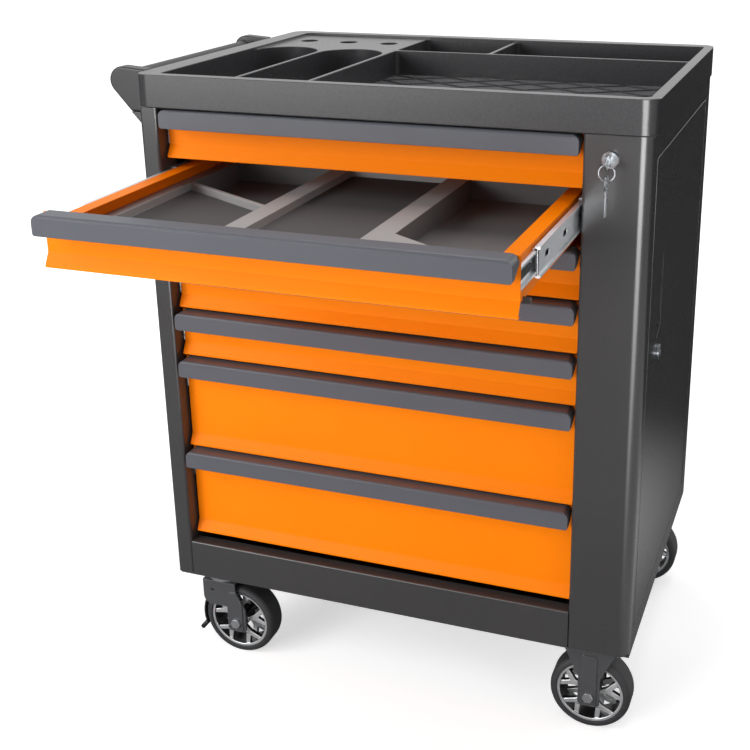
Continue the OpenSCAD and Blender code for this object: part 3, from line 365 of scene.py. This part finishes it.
# End stops of the slides. Each middle member ends in a black plastic buffer, and a release lever of the same
# plastic lies in each inner member in front of it. Both are pressed into the channels.
def moulded(name, colour, shade, roughness, grain_mm, depth):
    # Plastic, rubber, foam or lacquer with a fine even grain, which scatters the highlights.
    material, tree = blank(name)
    cloud_mm = 142.86
    where = add(tree, "ShaderNodeTexCoord").outputs["Object"]
    grain = add(tree, "ShaderNodeTexNoise", {
        "Vector": where, "Scale": 1000 / grain_mm, "Detail": 4.0, "Roughness": 0.6})
    clouds = add(tree, "ShaderNodeTexNoise", {"Vector": where, "Scale": 1000 / cloud_mm, "Detail": 2.0})
    tone = add(tree, "ShaderNodeMix", {
        "Factor": clouds.outputs["Fac"], 6: linear(colour), 7: linear(shade)}, data_type="RGBA")
    gloss = add(tree, "ShaderNodeMapRange", {
        "Value": grain.outputs["Fac"], "To Min": roughness - 0.08, "To Max": roughness + 0.08})
    skin = add(tree, "ShaderNodeBump", {
        "Height": grain.outputs["Fac"], "Strength": depth, "Distance": 0.0003})
    plastic = add(tree, "ShaderNodeBsdfPrincipled", {
        "Base Color": tone.outputs[2], "Roughness": gloss.outputs[0], "Normal": skin.outputs[0], "IOR": 1.46})
    add(tree, "ShaderNodeOutputMaterial", {"Surface": plastic.outputs[0]})
    return material


lever_plastic = moulded("black lever nylon", "#161617", "#131314", 0.5, 0.9, 0.06)
slide_ends = bpy.data.node_groups.new("slide end fittings", "GeometryNodeTree")
given = inputs_of(
    slide_ends, Left="NodeSocketVector", Gap="NodeSocketVector", Round="NodeSocketBool",
    Size="NodeSocketVector", Finish="NodeSocketMaterial")
size = add(slide_ends, "ShaderNodeSeparateXYZ", {0: given["Size"]})
radius = add(slide_ends, "ShaderNodeMath", {0: size.outputs[0], 1: 0.5}, operation="MULTIPLY")
stop = add(slide_ends, "GeometryNodeMeshCylinder", {
    "Vertices": 24, "Radius": radius.outputs[0], "Depth": size.outputs[2]})
lever = add(slide_ends, "GeometryNodeMeshCube", {"Size": given["Size"]})
kind = add(slide_ends, "GeometryNodeSwitch", {
    "Switch": given["Round"], "False": lever.outputs["Mesh"], "True": stop.outputs["Mesh"]},
    input_type="GEOMETRY")
places = add(slide_ends, "GeometryNodeMeshLine", {
    "Count": 2, "Start Location": given["Left"], "Offset": given["Gap"]})
spread = add(slide_ends, "GeometryNodeInstanceOnPoints", {
    "Points": places.outputs["Mesh"], "Instance": kind.outputs[0]})
solid = add(slide_ends, "GeometryNodeRealizeInstances", {0: spread.outputs[0]})
finished = add(slide_ends, "GeometryNodeSetMaterial", {
    "Geometry": solid.outputs[0], "Material": given["Finish"]})
add(slide_ends, "NodeGroupOutput", {0: finished.outputs[0]})

stop_d, stop_h = 0.0055, 0.033
stop_from_wall, stop_from_end = 0.0052, 0.0022
lever_size = 0.0025, 0.046, 0.008
lever_from_wall, lever_from_end = 0.0082, 0.04
for number in drawers:
    low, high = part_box(f"drawer_{number}_slide_middle")
    runner_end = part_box(f"drawer_{number}_runners")[0].y
    height = (low.z + high.z) / 2
    realised(f"drawer_{number}_slide_stops", f"drawer_{number}_slide_middle", slide_ends, {
        "Left": (low.x + stop_from_wall, low.y + stop_from_end, height),
        "Gap": (high.x - low.x - 2 * stop_from_wall, 0, 0),
        "Round": True, "Size": (stop_d, stop_d, stop_h), "Finish": lever_plastic})
    realised(f"drawer_{number}_slide_levers", f"drawer_{number}_runners", slide_ends, {
        "Left": (low.x + lever_from_wall, runner_end + lever_from_end, height),
        "Gap": (high.x - low.x - 2 * lever_from_wall, 0, 0),
        "Round": False, "Size": lever_size, "Finish": lever_plastic})


# Drawers. Each box and its front are folded from thin steel sheet and powder-coated in bright orange, with a
# charcoal catch under the right slide, and the front flares out at its foot to a narrow hemmed lip.
orange_coat = powder_coat("orange powder coat", "#ff8602", "#ff8102", 0.42, 0.9, 0.10, 0.08)
catch_below = 0.004
for number in drawers:
    rounded(f"drawer_{number}_box", 0.35, orange_coat)
    slide_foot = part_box(f"drawer_{number}_slide_middle")[0].z
    runners = bpy.data.objects[f"drawer_{number}_runners_finished"].data
    runners.materials.append(charcoal_coat)
    for face in runners.polygons:
        if face.center.z < slide_foot - catch_below:
            face.material_index = 1


# Pulls. Hooked aluminium extrusions the full width of the drawers, coated in a satin blue-grey, each closed
# by a cap at both ends.
grey_coat = powder_coat("blue-grey satin coat", "#5a5c63", "#55575e", 0.38, 0.7, 0.08, 0.3)
for number in drawers:
    rounded(f"drawer_{number}_pull", 0.6, grey_coat)


# Organiser. A grey moulded insert that lies loose in the open drawer, with two shallow and two deep pockets
# lined with dark foam. The foam is chosen by how far a face lies below the insert's top, and the deepest
# faces get the foam painted a lighter grey, as painted light against the shadow in the deep pockets.
insert_plastic = moulded("grey polypropylene insert", "#a6a6a6", "#a0a0a0", 0.5, 0.8, 0.1)
pocket_foam = moulded("dark pocket foam", "#505050", "#4b4b4b", 0.85, 1.6, 0.35)
# The same foam painted lighter, as painted light that offsets the shadow in the deep pockets.
deep_foam_painted_lighter = moulded("deep pocket foam painted lighter", "#7a7a7a", "#747474", 0.85, 1.6, 0.35)
organiser = rounded("organiser", 0.7, insert_plastic, pocket_foam, deep_foam_painted_lighter)
organiser_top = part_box("organiser")[1].z
# Faces more than 8 mm below the top take the dark foam, and those more than 14 mm below the foam painted
# lighter.
shelf_depths = 0.008, 0.014
for face in organiser.data.polygons:
    face.material_index = sum(organiser_top - face.center.z > depth for depth in shelf_depths)


# Top tray. One black moulding that covers the cabinet, with long bins at the left, a main bin with a diamond
# grid of low ribs on its floor, a back row and a deck with round tool holes.
tray_plastic = moulded("black grained ABS", "#39393b", "#353537", 0.28, 0.9, 0.05)
# The main bin's floor is painted a lighter grey than the black moulding, as a painted sheen of its glossy
# floor.
bin_floor_painted_sheen = moulded("bin floor painted lighter as a sheen", "#5c5c5e", "#565658", 0.22, 1.4, 0.04)
tray = rounded("top_tray", 0.9, tray_plastic, bin_floor_painted_sheen, join=False)
mount_at = {mount["name"]: Vector(mount["pos_m"]) for mount in frame["record"]["mounts"]}
bin_mid = mount_at["tray_floor"]
bin_w, bin_d, bin_play = 0.480, 0.350, 0.001
# Faces on the main bin's floor take the lighter painted sheen, and the ribs keep the black.
for face in tray.data.polygons:
    off = face.center - bin_mid
    if abs(off.z) < bin_play and abs(off.x) < bin_w / 2 and abs(off.y) < bin_d / 2:
        face.material_index = 1

rib_grid = bpy.data.node_groups.new("diamond floor ribs", "GeometryNodeTree")
given = inputs_of(
    rib_grid, Middle="NodeSocketVector", Cell="NodeSocketVector", Columns="NodeSocketInt",
    Rows="NodeSocketInt", Rib_Width="NodeSocketFloat", Rib_Height="NodeSocketFloat",
    Finish="NodeSocketMaterial")
cell = add(rib_grid, "ShaderNodeSeparateXYZ", {0: given["Cell"]})
span = add(rib_grid, "ShaderNodeVectorMath", {0: given["Cell"]}, operation="LENGTH")
slope = add(rib_grid, "ShaderNodeMath", {0: cell.outputs[1], 1: cell.outputs[0]}, operation="ARCTAN2")
fall = add(rib_grid, "ShaderNodeMath", {0: slope.outputs[0], 1: -1.0}, operation="MULTIPLY")
bar_size = add(rib_grid, "ShaderNodeCombineXYZ", {
    0: span.outputs["Value"], 1: given["Rib Width"], 2: given["Rib Height"]})
bar = add(rib_grid, "GeometryNodeMeshCube", {"Size": bar_size.outputs[0]})
cross = add(rib_grid, "GeometryNodeJoinGeometry")
for angle in (slope, fall):
    turn = add(rib_grid, "ShaderNodeCombineXYZ", {2: angle.outputs[0]})
    turned = add(rib_grid, "GeometryNodeTransform", {
        "Geometry": bar.outputs["Mesh"], "Rotation": turn.outputs[0]})
    rib_grid.links.new(turned.outputs[0], cross.inputs[0])
steps_x = add(rib_grid, "ShaderNodeMath", {0: given["Columns"], 1: 1.0}, operation="SUBTRACT")
steps_y = add(rib_grid, "ShaderNodeMath", {0: given["Rows"], 1: 1.0}, operation="SUBTRACT")
wide = add(rib_grid, "ShaderNodeMath", {0: cell.outputs[0], 1: steps_x.outputs[0]}, operation="MULTIPLY")
deep = add(rib_grid, "ShaderNodeMath", {0: cell.outputs[1], 1: steps_y.outputs[0]}, operation="MULTIPLY")
places = add(rib_grid, "GeometryNodeMeshGrid", {
    "Size X": wide.outputs[0], "Size Y": deep.outputs[0],
    "Vertices X": given["Columns"], "Vertices Y": given["Rows"]})
spread = add(rib_grid, "GeometryNodeInstanceOnPoints", {
    "Points": places.outputs["Mesh"], "Instance": cross.outputs[0]})
placed = add(rib_grid, "GeometryNodeTransform", {
    "Geometry": spread.outputs[0], "Translation": given["Middle"]})
solid = add(rib_grid, "GeometryNodeRealizeInstances", {0: placed.outputs[0]})
finished = add(rib_grid, "GeometryNodeSetMaterial", {
    "Geometry": solid.outputs[0], "Material": given["Finish"]})
add(rib_grid, "NodeGroupOutput", {0: finished.outputs[0]})

rib_w, rib_h = 0.0034, 0.0028
diamond_w, diamond_d = 0.095, 0.057
realised("tray_floor_ribs", "top_tray", rib_grid, {
    "Middle": bin_mid, "Cell": (diamond_w, diamond_d, 0.0), "Columns": 5, "Rows": 6,
    "Rib Width": rib_w, "Rib Height": rib_h, "Finish": tray_plastic})


# Push handle. A black moulded grip bar between two brackets that stand out from the left side, level with
# the tray, on the gussets of the side sheet.
handle_plastic = moulded("black satin nylon", "#202022", "#1d1d1f", 0.38, 0.9, 0.06)
rounded("push_handle", 3.0, handle_plastic, steps=4)


# Locks and keys. Chromed cam locks in the column and the side door, a key in the front one with a spare on a
# ring, and a zinc-plated bar along the partition whose tabs block the drawers.
def polished(name, colour, roughness):
    # Bright nickel-chrome plate with faint wipe marks that change its gloss.
    material, tree = blank(name)
    mark_mm = 11.111
    where = add(tree, "ShaderNodeTexCoord").outputs["Object"]
    marks = add(tree, "ShaderNodeTexNoise", {"Vector": where, "Scale": 1000 / mark_mm, "Detail": 3.0})
    gloss = add(tree, "ShaderNodeMapRange", {
        "Value": marks.outputs["Fac"], "To Min": roughness - 0.05, "To Max": roughness + 0.05})
    metal = add(tree, "ShaderNodeBsdfPrincipled", {
        "Base Color": linear(colour), "Metallic": 1.0, "Roughness": gloss.outputs[0]})
    add(tree, "ShaderNodeOutputMaterial", {"Surface": metal.outputs[0]})
    return material


lock_plate = polished("nickel-plated lock", "#7f8285", 0.28)
for node in ("lock_barrel", "front_key", "spare_key", "door_lock"):
    rounded(node, 0.25, lock_plate)
rounded("lock_bar", 0.4, slide_zinc)


# Side door. A flush steel pan with a pressed finger recess, powder-coated like the body. It hangs on pins at
# its back edge.
rounded("side_door", 0.5, charcoal_coat)


# Casters. Two rigid forks at the right and two swivel forks with brake pedals at the left, each with a solid
# rubber tyre on a five-spoke rim that is lacquered black and machined bright on its faces.
fork_coat = powder_coat("grey stove enamel", "#4c4d50", "#464749", 0.36, 0.8, 0.06, 0.4)
caster_zinc = plated_steel("zinc-plated steel", "#b8bbbf", 0.34, 0.8)
for node in ("rigid_forks", "swivel_fork_front", "swivel_fork_rear"):
    rounded(node, 0.8, fork_coat)
for node in ("swivel_plates", "rigid_axles", "swivel_axle_front", "swivel_axle_rear"):
    rounded(node, 0.4, caster_zinc)
pedal_plastic = moulded("black pedal nylon", "#202022", "#1d1d1f", 0.45, 0.9, 0.08)
rim_plate = plated_steel("machined rim face", "#e4e6e8", 0.4, 0.6)
rim_paint = moulded("black rim lacquer", "#161617", "#131314", 0.3, 0.9, 0.04)
tyre_rubber = moulded("dark grey rubber", "#333335", "#2d2d2f", 0.62, 1.2, 0.15)
machined_tilt = 0.6
for end in ("front", "rear"):
    rounded(f"brake_pedal_{end}", 0.8, pedal_plastic)
    for side in ("left", "right"):
        rim = rounded(f"rim_{end}_{side}", 0.8, rim_plate, rim_paint)
        for face in rim.data.polygons:
            if abs(face.normal.y) < machined_tilt:
                face.material_index = 1
        rounded(f"tyre_{end}_{side}", 0, tyre_rubber)


# Caster bolts. Each caster plate hangs from the bottom pan on four zinc-plated hexagon bolts with washers,
# whose heads show under the plate.
plate_bolts = bpy.data.node_groups.new("caster plate bolts", "GeometryNodeTree")
given = inputs_of(
    plate_bolts, Middle="NodeSocketVector", Plates_Wide="NodeSocketFloat", Plates_Deep="NodeSocketFloat",
    Bolts_Wide="NodeSocketFloat", Bolts_Deep="NodeSocketFloat", Head="NodeSocketFloat",
    Height="NodeSocketFloat", Washer="NodeSocketFloat", Washer_Height="NodeSocketFloat",
    Finish="NodeSocketMaterial")
head = add(plate_bolts, "GeometryNodeMeshCylinder", {
    "Vertices": 6, "Radius": given["Head"], "Depth": given["Height"]})
washer = add(plate_bolts, "GeometryNodeMeshCylinder", {
    "Vertices": 32, "Radius": given["Washer"], "Depth": given["Washer Height"]})
lift = add(plate_bolts, "ShaderNodeMath", {0: given["Height"], 1: 0.5}, operation="MULTIPLY")
seat = add(plate_bolts, "ShaderNodeCombineXYZ", {2: lift.outputs[0]})
seated = add(plate_bolts, "GeometryNodeTransform", {
    "Geometry": washer.outputs["Mesh"], "Translation": seat.outputs[0]})
bolt = add(plate_bolts, "GeometryNodeJoinGeometry")
for part in (head.outputs["Mesh"], seated.outputs[0]):
    plate_bolts.links.new(part, bolt.inputs[0])
four = add(plate_bolts, "GeometryNodeMeshGrid", {
    "Size X": given["Bolts Wide"], "Size Y": given["Bolts Deep"], "Vertices X": 2, "Vertices Y": 2})
plate = add(plate_bolts, "GeometryNodeInstanceOnPoints", {
    "Points": four.outputs["Mesh"], "Instance": bolt.outputs[0]})
corners = add(plate_bolts, "GeometryNodeMeshGrid", {
    "Size X": given["Plates Wide"], "Size Y": given["Plates Deep"], "Vertices X": 2, "Vertices Y": 2})
spread = add(plate_bolts, "GeometryNodeInstanceOnPoints", {
    "Points": corners.outputs["Mesh"], "Instance": plate.outputs[0]})
placed = add(plate_bolts, "GeometryNodeTransform", {
    "Geometry": spread.outputs[0], "Translation": given["Middle"]})
solid = add(plate_bolts, "GeometryNodeRealizeInstances", {0: placed.outputs[0]})
finished = add(plate_bolts, "GeometryNodeSetMaterial", {
    "Geometry": solid.outputs[0], "Material": given["Finish"]})
add(plate_bolts, "NodeGroupOutput", {0: finished.outputs[0]})

plate_w, plate_l, plate_t, bolt_from_edge = 0.084, 0.100, 0.003, 0.008
head_r, head_h = 0.0062, 0.005
washer_r, washer_t = 0.00713, 0.0012
plate_low, plate_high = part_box("swivel_plates")
rigid_low, rigid_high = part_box("rigid_forks")
left_x, right_x = (plate_low.x + plate_high.x) / 2, (rigid_low.x + rigid_high.x) / 2
head_z = plate_high.z - plate_t - washer_t / 2 - head_h / 2
realised("caster_bolts", "swivel_plates", plate_bolts, {
    "Middle": ((left_x + right_x) / 2, (plate_low.y + plate_high.y) / 2, head_z),
    "Plates Wide": right_x - left_x, "Plates Deep": plate_high.y - plate_low.y - plate_w,
    "Bolts Wide": plate_l - 2 * bolt_from_edge, "Bolts Deep": plate_w - 2 * bolt_from_edge,
    "Head": head_r, "Height": head_h, "Washer": washer_r, "Washer Height": washer_t,
    "Finish": caster_zinc})

low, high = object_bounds()
